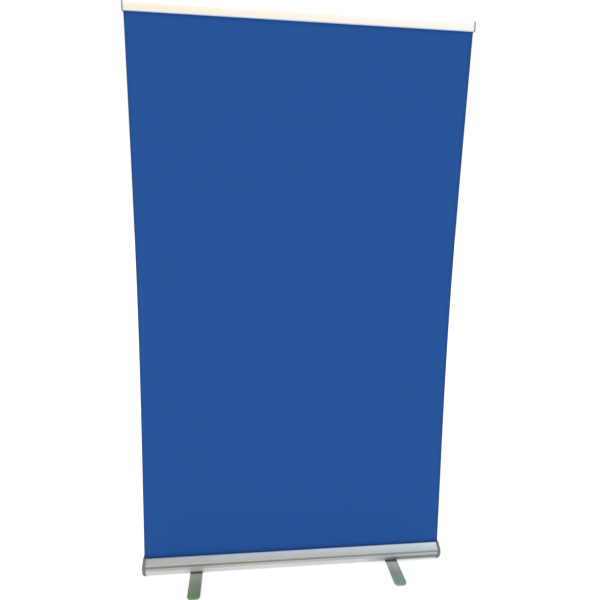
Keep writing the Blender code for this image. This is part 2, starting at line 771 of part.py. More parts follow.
def make_hook_head():
    """Head of the pole: a plug and collar, an arm towards the rail and an upright finger."""
    fit = POLE_R - POLE_WALL - GAP
    collar_r = POLE_R + HEAD_PROUD
    profile = [
        (0.0, HEAD_HEIGHT),
        (collar_r - 0.0018, HEAD_HEIGHT),
        (collar_r, HEAD_HEIGHT - 0.0020),
        (collar_r, GAP),
        (fit, GAP),
        (fit, -HEAD_REACH),
        (0.0, -HEAD_REACH),
    ]
    head = turned("pole_hook_head", profile, "black_plastic", (0.0, POLE_Y, POLE_TUBE_TO))
    side_view = rounded(
        [
            (HOOK_FINGER_FRONT, HOOK_ARM_LOW + 0.0070, 0.0015),
            (POLE_Y - 0.0100, HOOK_ARM_LOW, 0.0030),
            (POLE_Y, HOOK_ARM_LOW, 0.0),
            (POLE_Y, HOOK_ARM_TOP, 0.0),
            (HOOK_FINGER_REAR, HOOK_ARM_TOP, 0.0010),
            (HOOK_FINGER_REAR, HOOK_TOP, 0.0010),
            (HOOK_FINGER_FRONT, HOOK_TOP, 0.0010),
        ]
    )
    combine(head, along_x("hook_arm", [side_view], -HOOK_HALF, HOOK_HALF), "UNION")
    return head


def make_cord():
    """Shock cord through the tubes, with a round knot at each end."""
    low = POLE_TUBE_FROM + FOOT_PLUG_REACH + GAP
    high = POLE_TUBE_TO - HEAD_REACH - GAP
    knot = [
        (KNOT_R * math.sin(math.radians(a)), KNOT_R * (1.0 - math.cos(math.radians(a))))
        for a in (30, 60, 90, 120, 150)
    ]
    upper = [(r, high - h) for r, h in knot]
    lower = [(r, low + h) for r, h in reversed(knot)]
    straight = [(CORD_R, high - 2 * KNOT_R), (CORD_R, low + 2 * KNOT_R)]
    profile = [(0.0, high), *upper, *straight, *lower, (0.0, low)]
    return turned("shock_cord", profile, "cord", (0.0, POLE_Y, 0.0), steps=12)


def make_pole():
    inner = POLE_R - POLE_WALL
    third = (POLE_TUBE_TO - POLE_TUBE_FROM) / 3
    joints = (POLE_TUBE_FROM + third, POLE_TUBE_FROM + 2 * third)
    clear = COLLAR_HEIGHT / 2 + GAP
    spans = (
        ("pole_lower", POLE_TUBE_FROM, joints[0] - clear),
        ("pole_middle", joints[0] + clear, joints[1] - clear),
        ("pole_upper", joints[1] + clear, POLE_TUBE_TO),
    )
    tubes = [
        turned(name, ring(inner, POLE_R, low, high), "anodised", (0.0, POLE_Y, 0.0))
        for name, low, high in spans
    ]
    hang_on(
        axis_at("pole_axis", (0.0, POLE_Y, POLE_PIVOT_Z)),
        *tubes,
        make_ferrule("pole_ferrule_lower", joints[0]),
        make_ferrule("pole_ferrule_upper", joints[1]),
        make_foot_plug(),
        make_hook_head(),
        make_cord(),
    )


# ---------------------------------------------------------------- top rail
def make_rail_back():
    """Back profile: a spine, the hook channel behind it and the bead that the jaw swings on."""
    top = RAIL_BOTTOM + RAIL_HEIGHT
    arm = 0.0007
    lip_front = CHANNEL_REAR - JAW_LIP_WALL
    outline = rounded(
        [
            (RAIL_BACK_FRONT, RAIL_BOTTOM, 0.0004),
            (RAIL_BACK_REAR, RAIL_BOTTOM, 0.0004),
            (RAIL_BACK_REAR, CHANNEL_ROOF, 0.0),
            (lip_front, CHANNEL_ROOF, 0.0),
            (lip_front, CHANNEL_LIP, 0.0004),
            (CHANNEL_REAR, CHANNEL_LIP, 0.0004),
            (CHANNEL_REAR, CHANNEL_ROOF + RAIL_WALL, 0.0010),
            (RAIL_BACK_REAR, CHANNEL_ROOF + RAIL_WALL, 0.0),
            (RAIL_BACK_REAR, top, 0.0008),
            (RAIL_BACK_FRONT, top, 0.0),
            (RAIL_BACK_FRONT, JAW_PIVOT_Z + arm, 0.0),
            (JAW_PIVOT_Y + 0.0010, JAW_PIVOT_Z + arm, 0.0),
            (JAW_PIVOT_Y + 0.0010, JAW_PIVOT_Z - arm, 0.0),
            (RAIL_BACK_FRONT, JAW_PIVOT_Z - arm, 0.0),
        ],
        3,
    )
    back = along_x("rail_back_profile", [outline], -RAIL_HALF, RAIL_HALF, "cream_paint")
    bead = circle(JAW_PIVOT_Y, JAW_PIVOT_Z, BEAD_R, 16)
    combine(back, along_x("rail_bead", [bead], -RAIL_HALF, RAIL_HALF), "UNION")


def make_jaw():
    """Front cover that swings on the bead: a C round the bead, a face, and a lip onto the sheet."""
    top = RAIL_BOTTOM + RAIL_HEIGHT
    pivot = (JAW_PIVOT_Y, JAW_PIVOT_Z)
    outer = BEAD_R + JAW_BEAD_WALL
    face_in = JAW_FACE + JAW_WALL
    lip = SHEET_Y - SHEET_THICK / 2 - GAP
    lip_in = lip - JAW_LIP_WALL
    shelf = RAIL_BOTTOM + JAW_SHELF
    shoulder = top - JAW_SHOULDER
    outline = arc(pivot, outer, 90, 150, 4)
    outline += [
        Vector((JAW_FACE + 0.0012, top - 0.0038)),
        Vector((JAW_FACE + 0.0002, top - 0.0065)),
        Vector((JAW_FACE, shoulder)),
        Vector((JAW_FACE, RAIL_BOTTOM + 0.0012)),
        Vector((JAW_FACE + 0.0010, RAIL_BOTTOM)),
        Vector((lip - 0.0003, RAIL_BOTTOM)),
        Vector((lip, RAIL_BOTTOM + 0.0003)),
        Vector((lip, RAIL_BOTTOM + JAW_LIP_HEIGHT)),
        Vector((lip_in, RAIL_BOTTOM + JAW_LIP_HEIGHT)),
        Vector((lip_in, shelf)),
        Vector((face_in, shelf)),
        Vector((face_in, shoulder)),
    ]
    outline += arc(pivot, outer, 225, 290, 4)
    outline += arc(pivot, BEAD_R + GAP, 290, 90, 10)
    reach = RAIL_HALF - GAP
    jaw = along_x("rail_front_jaw", [outline], -reach, reach, "cream_paint")
    hang_on(axis_at("jaw_axis", (0.0, JAW_PIVOT_Y, JAW_PIVOT_Z)), jaw)


def make_grip_strip():
    """Rubber strip on the back profile, which the jaw's lip presses the sheet against."""
    low = RAIL_BOTTOM + GRIP_LIFT
    outline = rectangle(GRIP_FRONT, RAIL_BACK_FRONT - GAP, low, low + GRIP_HEIGHT, 0.0004)
    reach = RAIL_HALF - 0.002
    along_x("rail_grip_strip", [outline], -reach, reach, "rubber")


def make_rail_caps():
    """Flat plates over the rail's ends, a little larger than its section."""
    top = RAIL_BOTTOM + RAIL_HEIGHT
    low = RAIL_BOTTOM - RAIL_CAP_LOWER
    front = JAW_FACE - RAIL_CAP_PROUD
    rear = CHANNEL_REAR + RAIL_CAP_PROUD
    outline = rounded(
        [
            (front, low, 0.0012),
            (rear, low, 0.0012),
            (rear, CHANNEL_ROOF + 0.0047, 0.0020),
            (0.0010, top, 0.0020),
            (front, top, 0.0030),
        ]
    )
    inner = RAIL_HALF + GAP
    for label, side in (("left", -1), ("right", 1)):
        name = f"rail_end_cap_{label}"
        along_x(name, [outline], side * inner, side * (inner + RAIL_CAP_THICK), "rail_cap")


# ---------------------------------------------------------------- banner
def make_sheet():
    half = SHEET_WIDTH / 2
    t = SHEET_THICK / 2
    low = BASE_TOP - SHEET_IN_BASE
    outline = rectangle(SHEET_Y - t, SHEET_Y + t, low, RAIL_BOTTOM + SHEET_IN_RAIL)
    along_x("banner_sheet", [outline], -half, half, "banner_film")


def make_leader():
    """Film from the roll's front, along the tangent, up to the cassette's mouth."""
    t = SHEET_THICK / 2
    centre = Vector((ROLL_Y, ROLL_Z))
    mouth = Vector((SHEET_Y, BASE_TOP - SHEET_IN_BASE - GAP))
    reach = WRAP_R + GAP + t
    towards = mouth - centre
    angle = math.atan2(towards.y, towards.x) + math.acos(reach / towards.length)
    leaving = centre + reach * Vector((math.cos(angle), math.sin(angle)))
    along = (mouth - leaving).normalized()
    across = t * Vector((-along.y, along.x))
    outline = [leaving + across, leaving - across, mouth - across, mouth + across]
    along_x("banner_leader", [outline], -WRAP_HALF, WRAP_HALF, "white_film")


make_housing()
for LABEL, SIDE in (("left", -1), ("right", 1)):
    make_end_cap(f"{LABEL}_end_cap", SIDE)
    make_cap_screws(f"{LABEL}_cap_screw", SIDE)
    make_bumpers(LABEL, SIDE)
    make_foot(LABEL, SIDE)
make_axles()
make_roller()
make_socket()
make_pole()
make_rail_back()
make_jaw()
make_grip_strip()
make_rail_caps()
make_sheet()
make_leader()
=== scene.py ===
"""Looks of the roll-up banner stand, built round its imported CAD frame.

Lengths are in metres. +Z is up and the front of the banner faces -Y.
"""

import math

import bmesh
import bpy
from mathutils import Matrix, Vector


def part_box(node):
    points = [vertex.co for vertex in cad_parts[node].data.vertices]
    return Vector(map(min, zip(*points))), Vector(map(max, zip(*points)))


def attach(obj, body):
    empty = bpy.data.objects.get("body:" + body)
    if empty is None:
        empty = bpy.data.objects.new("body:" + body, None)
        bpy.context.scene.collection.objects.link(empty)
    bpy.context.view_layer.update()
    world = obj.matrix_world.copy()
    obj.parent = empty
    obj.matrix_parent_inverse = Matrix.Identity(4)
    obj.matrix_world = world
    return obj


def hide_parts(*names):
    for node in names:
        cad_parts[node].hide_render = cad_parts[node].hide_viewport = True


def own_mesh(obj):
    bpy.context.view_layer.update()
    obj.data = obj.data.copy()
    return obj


# ---------------------------------------------------------------- the banner film
FILM_THICK = 0.0005
FILM_WAIST_LEFT = 0.0063          # how far the film's side edges are pulled in at mid height
FILM_WAIST_RIGHT = 0.0092
FILM_WAIST_FADE = 1.6             # power by which the waist fades towards the mouth and the rail
FILM_CURL_DEPTH = 0.0100          # how far the side edges turn back at mid height
FILM_CURL_WIDTH = 0.110
FILM_LIP_LEAN = 0.0036            # the film runs down onto the front lip of the cassette's mouth
FILM_HELD_BELOW = 0.0670          # below this the film is in the cassette's mouth
FILM_HELD_ABOVE = 2.0610          # above this it is in the rail
FILM_COLUMNS = 56
FILM_ROWS = 94
PULL_FRAMES = 24
PULL_EXTRA = 1.12                 # shrinkage asked of the cloth, over the waist wanted
CLOTH = {
    "quality": 6,
    "mass": 0.05,
    "tension_stiffness": 30.0,
    "compression_stiffness": 30.0,
    "shear_stiffness": 18.0,
    "bending_stiffness": 1.0,
    "air_damping": 2.0,
}

# ---------------------------------------------------------------- the leader, the roll and the cord
ROLL_FILM_THICK = 0.00026
ROLL_INNER = 0.0143               # inside radius of the first turn
ROLL_TURNS = 2
ROLL_TURN_STEPS = 60
LEADER_STEPS = 14
LEADER_ACROSS = (-1, -0.5, 0, 0.5, 1)   # points across the leader, in half widths
LEADER_FOOT_GAP = 0.0002          # kept free under its lower end
LEADER_HEAD_GAP = 0.0001          # and over its upper end
LEADER_BOW = 0.0004
CORD_STRANDS = 3
CORD_LAY = 0.012                  # length of one twist
CORD_LAY_STEPS = 6
STRAND_RADIUS = 0.00068
STRAND_OFFSET = 0.0008            # from the cord's axis to a strand's
STRAND_SHORT = 0.7                # strands stop this share of a knot short of the cord's ends
KNOT_LENGTH = 0.006
KNOT_RADIUS = 0.0029
KNOT_FLAT = 0.98                  # a knot's height over its width

# ---------------------------------------------------------------- finish of the CAD nodes
SMOOTH_ANGLE = 34.0               # edges that turn by more than this stay crisp, in degrees
WELD_REACH = 2e-6
METAL_EDGE = 0.0009               # width of the rubbed edges
PLASTIC_EDGE = 0.0007
PAINT_EDGE = 0.0006
EDGE_TURN = 0.10                  # swing of the normal that counts as a full edge
LINE_STRENGTH = 0.12              # relief of drawn lines in metal
GRAIN_DEPTH = 0.0001
FILM_GRAIN_DEPTH = 0.00008
PEBBLE_DEPTH = 0.00012
CORD_GRAIN_DEPTH = 0.0002
GRAIN_ALONG_X = (3.0, 900.0, 900.0)     # grains per metre along X, Y and Z
GRAIN_ALONG_Y = (420.0, 4.0, 420.0)
GRAIN_ALONG_Z = (900.0, 900.0, 3.0)
GRAIN_SPRING = (60.0, 900.0, 900.0)
GRAIN_SCREW = 500.0
PATCH_GRAIN = 7.0
SCRIM_SCALE = 210.0
FILM_GRAIN = 2400.0

# Where a finish or painted light changes along one axis of a piece: from the first place to the second.
# left end to right end of the cassette, across which painted light turns from warm to cool
CASSETTE_ENDS = (-0.605, 0.605)
CASSETTE_FRONT = (-0.0110, -0.0145)     # top of the extrusion to its front
CASSETTE_RIM_HIGHLIGHT = (0.0480, 0.0655)         # front face to its upper edge, which carries a painted highlight
CASSETTE_BAND = (0.0400, 0.0425)        # lower band to front face
CASSETTE_UNDER = (0.0280, 0.0305)       # lower edge to lower band; the lower edge carries a painted reflection and painted shade
# span of the painted shade in the recessed line between the front face and the lower band
CASSETTE_GROOVE_SHADE = (0.0360, 0.0500)
# left end to right end of the rail, across which painted light turns from warm to pale
RAIL_ENDS = (-0.6, 0.6)
# where painted light makes the rail lighter towards its top
RAIL_CROWN = (2.0760, 2.0940)
# where painted light makes the rail's lower lip cooler and greyer
RAIL_FOOT = (2.0690, 2.0655)
FOOT_SIDES = (-0.30, 0.30)              # left foot to right foot; painted light makes the left one darker and warmer
# where the painted greenish reflection on the feet begins, and where it is full at the front end
FOOT_MIDDLE = (-0.060, -0.102)
FOOT_TIP = (-0.102, -0.148)
FOOT_BASE_SHADOW = (0.0420, 0.0370)         # open bar to the part under the cassette, which carries a painted shadow

# ---------------------------------------------------------------- stage, light and camera
BLACK = (0.0, 0.0, 0.0)
WHITE = (1.0, 1.0, 1.0)
FLOOR_CORNERS = ((-1, -1), (1, -1), (1, 1), (-1, 1))
FLOOR_REACH = 30.0
FLOOR_GLOW = 0.10                 # light the floor gives off to other pieces
FLOOR_GLOW_SEEN = 0.35            # and to the camera
WORLD_LEFT = (0.92, 0.87, 0.80)
WORLD_RIGHT = (0.87, 0.96, 1.03)
WORLD_SPREAD = (-0.25, 0.40)      # sideways part of the view, from the left tone to the right
WORLD_HEIGHTS = ((0.0, 0.60), (0.35, 0.72), (0.6, 0.80), (1.0, 0.80))   # upward part of the view: level
SUN_ENERGY = 1.1
SUN_SPREAD = 35.0                 # degrees across
SUN_WAY = (0.25, 0.58, -0.78)     # the way its light travels
CAMERA_PLACE = (-0.2156, -1.8523, 1.4245)
CAMERA_YAW = 6.658                # degrees to the right of +Y
CAMERA_PITCH = 9.908              # degrees down
CAMERA_ROLL = 1.039
CAMERA_LENS = 30.30               # millimetres
SENSOR_WIDTH = 36.0               # millimetres

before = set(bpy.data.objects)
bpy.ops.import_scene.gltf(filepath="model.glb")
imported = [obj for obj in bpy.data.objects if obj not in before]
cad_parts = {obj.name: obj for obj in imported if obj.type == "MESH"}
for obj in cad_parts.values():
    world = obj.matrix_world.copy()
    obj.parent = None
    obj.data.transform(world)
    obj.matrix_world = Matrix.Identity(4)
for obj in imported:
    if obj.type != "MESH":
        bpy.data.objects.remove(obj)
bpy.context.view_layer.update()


# ---------------------------------------------------------------- building node trees
class Nodes:
    """A node tree, with short calls that add nodes to it."""

    def __init__(self, tree):
        self.tree = tree

    def put(self, socket, value):
        """Gives an input a value, or links another node's output to it."""
        if isinstance(value, bpy.types.NodeSocket):
            self.tree.links.new(value, socket)
        else:
            socket.default_value = value

    def set(self, node, values):
        """Puts values in a node's inputs by name. _ stands for a space."""
        for name, value in values.items():
            self.put(node.inputs[name.replace("_", " ")], value)

    def add(self, kind, settings=None, **inputs):
        node = self.tree.nodes.new("ShaderNode" + kind)
        for name, value in (settings or {}).items():
            setattr(node, name, value)
        self.set(node, inputs)
        return node

    def spread(self, value, low, high, from_low=0.3, from_high=0.7):
        """Stretches a pattern so that it runs between two numbers."""
        node = self.add("MapRange", Value=value, From_Min=from_low, From_Max=from_high)
        self.set(node, {"To_Min": low, "To_Max": high})
        return node.outputs["Result"]

    def shades(self, value, *stops):
        """Colour ramp through (position, colour) stops."""
        ramp = self.add("ValToRGB", Fac=value)
        elements = ramp.color_ramp.elements
        while len(elements) < len(stops):
            elements.new(0.5)
        for element, (position, colour) in zip(elements, stops):
            element.position = position
            element.color = (*colour, 1.0)
        return ramp.outputs["Color"]

    def mix(self, factor, first, second, blend="MIX"):
        """Colour that goes from the first to the second as factor goes from 0 to 1."""
        first = (*first, 1.0) if isinstance(first, tuple) else first
        second = (*second, 1.0) if isinstance(second, tuple) else second
        node = self.add("MixRGB", {"blend_type": blend}, Fac=factor, Color1=first, Color2=second)
        return node.outputs["Color"]

    def combine(self, operation, first, second):
        """One of the Math node's operations on two numbers or patterns."""
        node = self.add("Math", {"operation": operation})
        self.put(node.inputs[0], first)
        self.put(node.inputs[1], second)
        return node.outputs["Value"]


class Surface(Nodes):
    """A material round one Principled shader."""

    def __init__(self, name, **settings):
        self.material = bpy.data.materials.new(name)
        self.material.use_nodes = True
        super().__init__(self.material.node_tree)
        self.shader = self.tree.nodes["Principled BSDF"]
        self.set(self.shader, settings)

    def place(self, scale=(1.0, 1.0, 1.0)):
        """Coordinates that move with the piece, in metres times scale."""
        coordinates = self.add("TexCoord").outputs["Object"]
        return self.add("Mapping", Vector=coordinates, Scale=scale).outputs["Vector"]

    def noise(self, grains, detail=2.0, roughness=0.5, distortion=0.0):
        """Cloudy grain, in grains per metre: one number, or one each for X, Y and Z."""
        scale = grains if isinstance(grains, tuple) else (grains, grains, grains)
        node = self.add("TexNoise", Vector=self.place(scale), Scale=1.0, Detail=detail)
        self.set(node, {"Roughness": roughness, "Distortion": distortion})
        return node.outputs["Fac"]

    def along(self, axis, start, end, mirrored=False):
        """0..1 between two places on one of the piece's own axes, the same both ways if mirrored."""
        split = self.add("SeparateXYZ", Vector=self.add("TexCoord").outputs["Object"])
        place = split.outputs[axis]
        if mirrored:
            place = self.add("Math", {"operation": "ABSOLUTE"}, Value=place).outputs["Value"]
        return self.spread(place, 0.0, 1.0, start, end)

    def edges(self, radius):
        """1 on corners and 0 on flats: how far the normal swings within radius."""
        rounded = self.add("Bevel", {"samples": 4}, Radius=radius).outputs["Normal"]
        flat = self.add("NewGeometry").outputs["Normal"]
        turn = self.add("VectorMath", {"operation": "DOT_PRODUCT"})
        self.put(turn.inputs[0], rounded)
        self.put(turn.inputs[1], flat)
        return self.spread(turn.outputs["Value"], 0.0, 1.0, 1.0, 1.0 - EDGE_TURN)

    def rubbed(self, colour, worn, radius, wear):
        """The colour, with a share of the worn one along the edges."""
        return self.mix(self.combine("MULTIPLY", self.edges(radius), wear), colour, worn)

    def bump(self, height, strength, distance, under=None):
        """Relief of a pattern, over another relief if one is given."""
        node = self.add("Bump", Height=height, Strength=strength, Distance=distance)
        if under is not None:
            self.put(node.inputs["Normal"], under)
        return node.outputs["Normal"]

    def finished(self, colour, roughness, normal=None):
        """Links the shader to its patterns and gives back the material."""
        self.set(self.shader, {"Base_Color": colour, "Roughness": roughness})
        if normal is not None:
            self.set(self.shader, {"Normal": normal})
        return self.material


# ---------------------------------------------------------------- materials of the hard pieces
def brushed_metal(name, dark, light, grains, roughness, wear):
    """Drawn metal: fine lines along one axis, broad patches, and edges rubbed bright."""
    surface = Surface(name, Metallic=1.0, Specular_IOR_Level=0.5)
    lines = surface.noise(grains, detail=3.0, roughness=0.65)
    patches = surface.noise(PATCH_GRAIN, detail=3.0, roughness=0.6)
    colour = surface.shades(lines, (0.25, dark), (0.75, light))
    patchy = surface.mix(surface.spread(patches, 0.0, 0.22), colour, dark)
    rubbed = surface.rubbed(patchy, (0.88, 0.89, 0.90), METAL_EDGE, wear)
    line_rough = surface.spread(lines, -0.06, 0.06)
    patch_rough = surface.spread(patches, -0.03, 0.05)
    uneven = surface.combine("ADD", line_rough, patch_rough)
    rough = surface.combine("ADD", uneven, roughness)
    return surface.finished(rubbed, rough, surface.bump(lines, LINE_STRENGTH, GRAIN_DEPTH))


def cassette_painted_front(surface, along):
    """The extrusion's front from its lower edge up, its colours carrying painted light: a highlight along
    the upper edge, warm left and cool right, a lightened lower band, a pale lower edge turning dark at
    the right end, and painted shade in the recessed line. along runs 0..1 from its left end to its right.
    """
    # painted highlight along the upper edge: a bluish reflection, brightest at the right end
    rim_highlight = surface.shades(
        along,
        (0.0, (0.43, 0.44, 0.45)),
        (0.5, (0.58, 0.67, 0.80)),
        (1.0, (0.84, 0.95, 1.0)),
    )
    # painted light on the front face: warm and dark at the left end, cool and lighter at the right
    face = surface.shades(
        along,
        (0.0, (0.35, 0.335, 0.275)),
        (0.5, (0.46, 0.41, 0.33)),
        (1.0, (0.52, 0.58, 0.58)),
    )
    # painted light: the lower band lightened, with the same warm-to-cool turn
    band = surface.shades(
        along,
        (0.0, (0.52, 0.53, 0.48)),
        (0.5, (0.60, 0.61, 0.60)),
        (1.0, (0.54, 0.55, 0.58)),
    )
    # painted reflection of the pale floor along the lower edge, turning to painted shade at the right end
    under = surface.shades(
        along,
        (0.0, (0.80, 0.80, 0.78)),
        (0.72, (0.82, 0.82, 0.82)),
        (0.84, (0.24, 0.25, 0.25)),
    )
    upper = surface.mix(surface.along("Z", *CASSETTE_RIM_HIGHLIGHT), face, rim_highlight)
    lower = surface.mix(surface.along("Z", *CASSETTE_UNDER), under, band)
    front = surface.mix(surface.along("Z", *CASSETTE_BAND), lower, upper)
    # painted shade darkens the recessed line between the front face and the lower band
    height = surface.along("Z", *CASSETTE_GROOVE_SHADE)
    groove_shade = surface.shades(height, (0.20, BLACK), (0.34, WHITE), (0.56, WHITE), (0.85, BLACK))
    return surface.mix(surface.combine("MULTIPLY", groove_shade, 0.70), front, (0.20, 0.20, 0.20))


def cassette_finish_and_painted_light(name):
    """Satin extrusion: drawn lines, painted light that makes it warm left and cool right, and a front of
    its own with painted highlights and shade.
    """
    surface = Surface(name, Metallic=0.45, Specular_IOR_Level=0.4)
    lines = surface.noise(GRAIN_ALONG_X, detail=3.0, roughness=0.65)
    patches = surface.noise(PATCH_GRAIN, detail=3.0, roughness=0.6)
    along = surface.along("X", *CASSETTE_ENDS)
    # painted light: darker and warmer at the left end, lighter and cooler at the right
    plain = surface.mix(along, (0.46, 0.46, 0.45), (0.50, 0.51, 0.52))
    shaded = surface.mix(surface.along("Y", *CASSETTE_FRONT), plain, cassette_painted_front(surface, along))
    drawn = surface.mix(surface.spread(lines, 0.0, 0.20), shaded, (0.22, 0.22, 0.22))
    patchy = surface.mix(surface.spread(patches, 0.0, 0.10), drawn, (0.22, 0.22, 0.22))
    # bright edges: partly rubbed wear and partly a painted highlight
    rubbed = surface.rubbed(patchy, (0.80, 0.83, 0.87), METAL_EDGE, 0.3)
    rough = surface.spread(lines, 0.38, 0.50)
    return surface.finished(rubbed, rough, surface.bump(lines, LINE_STRENGTH, GRAIN_DEPTH))


def foot_steel(name):
    """Satin steel bar: rolled lines along it, grey by the pivot and greenish towards its front end, where
    the green is a painted reflection and painted light makes the left foot darker than the right.

    The part that the cassette covers at rest is dark with a painted shadow.
    """
    surface = Surface(name, Metallic=0.30, Specular_IOR_Level=0.25)
    lines = surface.noise(GRAIN_ALONG_Y, detail=3.0, roughness=0.65)
    # painted light: the left foot darker and warmer than the right
    side = surface.along("X", *FOOT_SIDES)
    grey = surface.mix(side, (0.50, 0.49, 0.44), (0.70, 0.69, 0.70))
    # painted reflection: greenish towards the front end
    middle = surface.mix(side, (0.39, 0.43, 0.29), (0.44, 0.55, 0.40))
    tip_reflection = surface.mix(side, (0.26, 0.42, 0.17), (0.40, 0.54, 0.37))
    inner = surface.mix(surface.along("Y", *FOOT_MIDDLE), grey, middle)
    outer = surface.mix(surface.along("Y", *FOOT_TIP), inner, tip_reflection)
    # painted shadow on the part that the cassette covers at rest
    base_shadow_mask = surface.along("Y", *FOOT_BASE_SHADOW, mirrored=True)
    with_base_shadow = surface.mix(base_shadow_mask, outer, (0.16, 0.15, 0.15))
    drawn = surface.mix(surface.spread(lines, 0.0, 0.55), with_base_shadow, (0.12, 0.15, 0.12))
    rubbed = surface.rubbed(drawn, (0.62, 0.64, 0.62), METAL_EDGE, 0.20)
    rough = surface.spread(lines, 0.50, 0.62)
    return surface.finished(rubbed, rough, surface.bump(lines, LINE_STRENGTH, GRAIN_DEPTH))


def moulded_plastic(name, dark, light, roughness):
    """Spark-textured plastic: pebbled skin, faint flow marks and edges worn pale."""
    surface = Surface(name, Specular_IOR_Level=0.45)
    flow = surface.noise(30.0, detail=4.0, roughness=0.6, distortion=0.4)
    pebble = surface.noise(2600.0)
    colour = surface.shades(flow, (0.3, dark), (0.7, light))
    pale = tuple(min(1.0, channel * 1.5 + 0.03) for channel in light)
    worn = surface.rubbed(colour, pale, PLASTIC_EDGE, 0.35)
    rough = surface.spread(flow, roughness - 0.05, roughness + 0.08)
    return surface.finished(worn, rough, surface.bump(pebble, 0.25, PEBBLE_DEPTH))


def rubber(name):
    """Black rubber: dusty where it is rubbed, with a fine open grain."""
    surface = Surface(name, Specular_IOR_Level=0.3)
    dust = surface.noise(120.0, detail=5.0, roughness=0.65)
    grain = surface.noise(3500.0, roughness=0.6)
    colour = surface.shades(dust, (0.35, (0.012, 0.012, 0.013)), (0.75, (0.045, 0.043, 0.042)))
    rough = surface.spread(dust, 0.68, 0.92)
    return surface.finished(colour, rough, surface.bump(grain, 0.4, GRAIN_DEPTH))


def cream_paint(name):
    """Cream lacquer with painted light, warmer at the left end, lighter at the top and cooler along the
    lower lip: orange peel, drawing lines under it, rubbed edges.
    """
    surface = Surface(name, Metallic=0.0, Specular_IOR_Level=0.35, Coat_Weight=0.10)
    tint = surface.noise((3.0, 40.0, 90.0), detail=3.0, roughness=0.6)
    peel = surface.noise(700.0, roughness=0.4)
    lines = surface.noise((6.0, 1800.0, 1800.0), roughness=0.6)
    # painted light: warmer at the left end, paler at the right
    cream = surface.shades(
        surface.along("X", *RAIL_ENDS),
        (0.0, (0.95, 0.81, 0.60)),
        (0.4, (0.96, 0.88, 0.73)),
        (1.0, (0.96, 0.90, 0.85)),
    )
    pale = surface.mix(0.25, cream, (1.0, 0.98, 0.94))
    mottled = surface.mix(surface.spread(tint, 0.0, 1.0), cream, pale)
    # painted light: lighter towards the top
    top_lightened = surface.mix(surface.along("Z", *RAIL_CROWN), mottled, (0.99, 0.97, 0.96))
    # painted light: the lower lip cooler and greyer
    colour = surface.mix(surface.along("Z", *RAIL_FOOT), top_lightened, (0.84, 0.88, 0.92))
    chipped = surface.rubbed(colour, (0.80, 0.86, 0.92), PAINT_EDGE, 0.20)
    rough = surface.spread(tint, 0.40, 0.52)
    under = surface.bump(lines, 0.08, GRAIN_DEPTH)
    return surface.finished(chipped, rough, surface.bump(peel, 0.10, GRAIN_DEPTH, under))


# ---------------------------------------------------------------- materials of the soft pieces
def printed_film(name):
    """The banner's face: matt blue print with fine mottling, faint printing passes and film grain."""
    surface = Surface(name, Specular_IOR_Level=0.12)
    mottle = surface.noise(260.0, detail=3.0, roughness=0.6)
    passes = surface.noise((1.2, 1.0, 24.0))
    cloud = surface.noise(2.0)
    grain = surface.noise(FILM_GRAIN)
    base = surface.shades(mottle, (0.25, (0.0138, 0.0772, 0.2960)), (0.75, (0.0158, 0.0860, 0.3210)))
    banded = surface.mix(surface.spread(passes, 0.0, 0.10), base, (0.013, 0.074, 0.290))
    clouded = surface.mix(surface.spread(cloud, 0.0, 0.06), banded, (0.018, 0.090, 0.329))
    rough = surface.spread(mottle, 0.66, 0.76)
    return surface.finished(clouded, rough, surface.bump(grain, 0.10, FILM_GRAIN_DEPTH))


def film_back(name):
    """The film's unprinted side: pale grey with a faint scrim weave."""
    surface = Surface(name, Specular_IOR_Level=0.35)
    cloud = surface.noise(9.0, detail=3.0, roughness=0.6)
    across, along = (
        surface.add("TexWave", {"bands_direction": axis}, Vector=surface.place(), Scale=SCRIM_SCALE)
        for axis in ("X", "Z")
    )
    weave = surface.combine("MULTIPLY", across.outputs["Fac"], along.outputs["Fac"])
    colour = surface.shades(cloud, (0.2, (0.490, 0.498, 0.505)), (0.8, (0.510, 0.518, 0.525)))
    woven = surface.mix(surface.combine("MULTIPLY", weave, 0.10), colour, (0.38, 0.39, 0.41))
    rough = surface.spread(cloud, 0.50, 0.62)
    return surface.finished(woven, rough, surface.bump(weave, 0.15, GRAIN_DEPTH))


def film_core(name):
    """The film's cut edge, which shows its white core."""
    surface = Surface(name, Specular_IOR_Level=0.3)
    fibre = surface.noise((2000.0, 2000.0, 400.0))
    colour = surface.shades(fibre, (0.3, (0.42, 0.50, 0.62)), (0.7, (0.62, 0.68, 0.76)))
    return surface.finished(colour, surface.spread(fibre, 0.5, 0.7))


def white_film(name):
    """Plain film of the leader and the roll."""
    surface = Surface(name, Specular_IOR_Level=0.4)
    cloud = surface.noise(14.0, detail=3.0, roughness=0.6)
    grain = surface.noise(FILM_GRAIN)
    colour = surface.shades(cloud, (0.3, (0.70, 0.70, 0.68)), (0.7, (0.78, 0.78, 0.77)))
    rough = surface.spread(cloud, 0.38, 0.52)
    return surface.finished(colour, rough, surface.bump(grain, 0.10, FILM_GRAIN_DEPTH))


def braided_cord(name):
    """Black elastic cord with a pale fleck in its braid."""
    surface = Surface(name, Specular_IOR_Level=0.2, Sheen_Weight=0.3)
    fleck = surface.noise((900.0, 900.0, 260.0), roughness=0.6)
    colour = surface.shades(fleck, (0.45, (0.020, 0.020, 0.023)), (0.75, (0.16, 0.16, 0.17)))
    rough = surface.spread(fleck, 0.75, 0.95)
    return surface.finished(colour, rough, surface.bump(fleck, 0.3, CORD_GRAIN_DEPTH))


